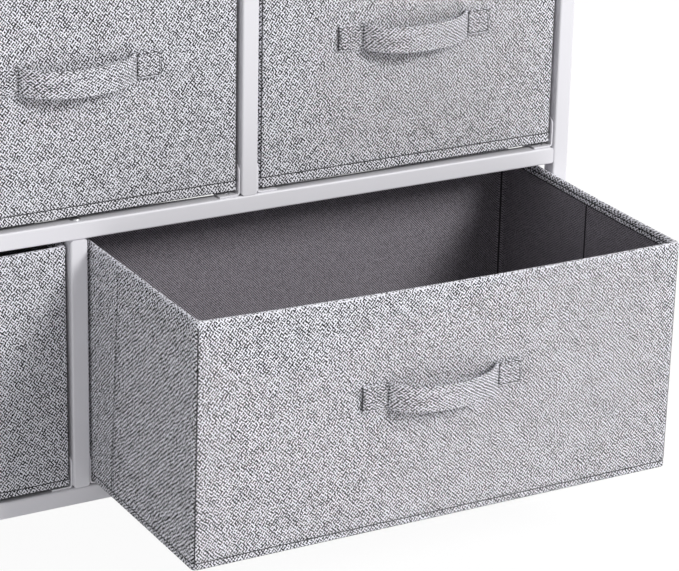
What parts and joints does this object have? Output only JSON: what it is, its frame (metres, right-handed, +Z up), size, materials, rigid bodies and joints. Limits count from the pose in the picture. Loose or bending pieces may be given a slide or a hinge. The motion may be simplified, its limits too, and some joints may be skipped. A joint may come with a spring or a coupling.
{
  "type": "fabric drawer dresser",
  "caption": "Wide low dresser with a square-tube metal frame, a flat top board and folding fabric drawers with strap handles that slide on L-section guides.",
  "frame": {"origin": "on the floor, at the centre of the footprint of the dresser with its lower right drawer pulled out", "axes": "+X to the right of someone facing the drawers, +Y from the drawers to the back, +Z up"},
  "size_m": [1.004, 0.5232, 0.5863],
  "materials": {
    "frame_paint": "white powder coat, satin, with a very fine orange peel",
    "top_laminate": "white laminated fibreboard with a faint grain, satin",
    "grey_fabric": "heathered light and dark grey woven fabric, matt",
    "lining_board": "dark grey non-woven lining over board, matt, with a fine dotted emboss",
    "foot_plastic": "black moulded plastic, matt"
  },
  "bodies": {
    "frame": {"front_left_post": "frame_paint", "front_left_foot_insert": "foot_plastic", "front_left_levelling_foot": "foot_plastic", "front_right_post": "frame_paint", "front_right_foot_insert": "foot_plastic", "front_right_levelling_foot": "foot_plastic", "front_bottom_rail": "frame_paint", "front_middle_rail": "frame_paint", "front_top_rail": "frame_paint", "rear_left_post": "frame_paint", "rear_left_foot_insert": "foot_plastic", "rear_left_levelling_foot": "foot_plastic", "rear_right_post": "frame_paint", "rear_right_foot_insert": "foot_plastic", "rear_right_levelling_foot": "foot_plastic", "rear_bottom_rail": "frame_paint", "rear_middle_rail": "frame_paint", "rear_top_rail": "frame_paint", "left_side_bottom_rail": "frame_paint", "left_side_middle_rail": "frame_paint", "left_side_top_rail": "frame_paint", "right_side_bottom_rail": "frame_paint", "right_side_middle_rail": "frame_paint", "right_side_top_rail": "frame_paint", "front_upper_divider_1": "frame_paint", "front_upper_divider_2": "frame_paint", "front_lower_divider": "frame_paint", "rear_upper_divider_1": "frame_paint", "rear_upper_divider_2": "frame_paint", "rear_lower_divider": "frame_paint", "top_board": "top_laminate", "upper_left_bay_left_guide": "frame_paint", "upper_left_bay_right_guide": "frame_paint", "upper_middle_bay_left_guide": "frame_paint", "upper_middle_bay_right_guide": "frame_paint", "upper_right_bay_left_guide": "frame_paint", "upper_right_bay_right_guide": "frame_paint", "lower_left_bay_left_guide": "frame_paint", "lower_left_bay_right_guide": "frame_paint", "lower_right_bay_left_guide": "frame_paint", "lower_right_bay_right_guide": "frame_paint"},
    "upper_left_drawer": {"upper_left_drawer_box": "grey_fabric", "upper_left_drawer_base_board": "lining_board", "upper_left_drawer_handle": "grey_fabric"},
    "upper_middle_drawer": {"upper_middle_drawer_box": "grey_fabric", "upper_middle_drawer_base_board": "lining_board", "upper_middle_drawer_handle": "grey_fabric"},
    "upper_right_drawer": {"upper_right_drawer_box": "grey_fabric", "upper_right_drawer_base_board": "lining_board", "upper_right_drawer_handle": "grey_fabric"},
    "lower_left_drawer": {"lower_left_drawer_box": "grey_fabric", "lower_left_drawer_base_board": "lining_board", "lower_left_drawer_handle": "grey_fabric"},
    "lower_right_drawer": {"lower_right_drawer_box": "grey_fabric", "lower_right_drawer_base_board": "lining_board", "lower_right_drawer_handle": "grey_fabric"}
  },
  "joints": [
    {"name": "upper_left_drawer_slide", "type": "slide", "parent": "frame", "child": "upper_left_drawer", "axis": [0, -1, 0], "range_m": [0, 0.24]},
    {"name": "upper_middle_drawer_slide", "type": "slide", "parent": "frame", "child": "upper_middle_drawer", "axis": [0, -1, 0], "range_m": [0, 0.24]},
    {"name": "upper_right_drawer_slide", "type": "slide", "parent": "frame", "child": "upper_right_drawer", "axis": [0, -1, 0], "range_m": [0, 0.24]},
    {"name": "lower_left_drawer_slide", "type": "slide", "parent": "frame", "child": "lower_left_drawer", "axis": [0, -1, 0], "range_m": [0, 0.24]},
    {"name": "lower_right_drawer_slide", "type": "slide", "parent": "frame", "child": "lower_right_drawer", "axis": [0, -1, 0], "range_m": [-0.211, 0.029]}
  ]
}
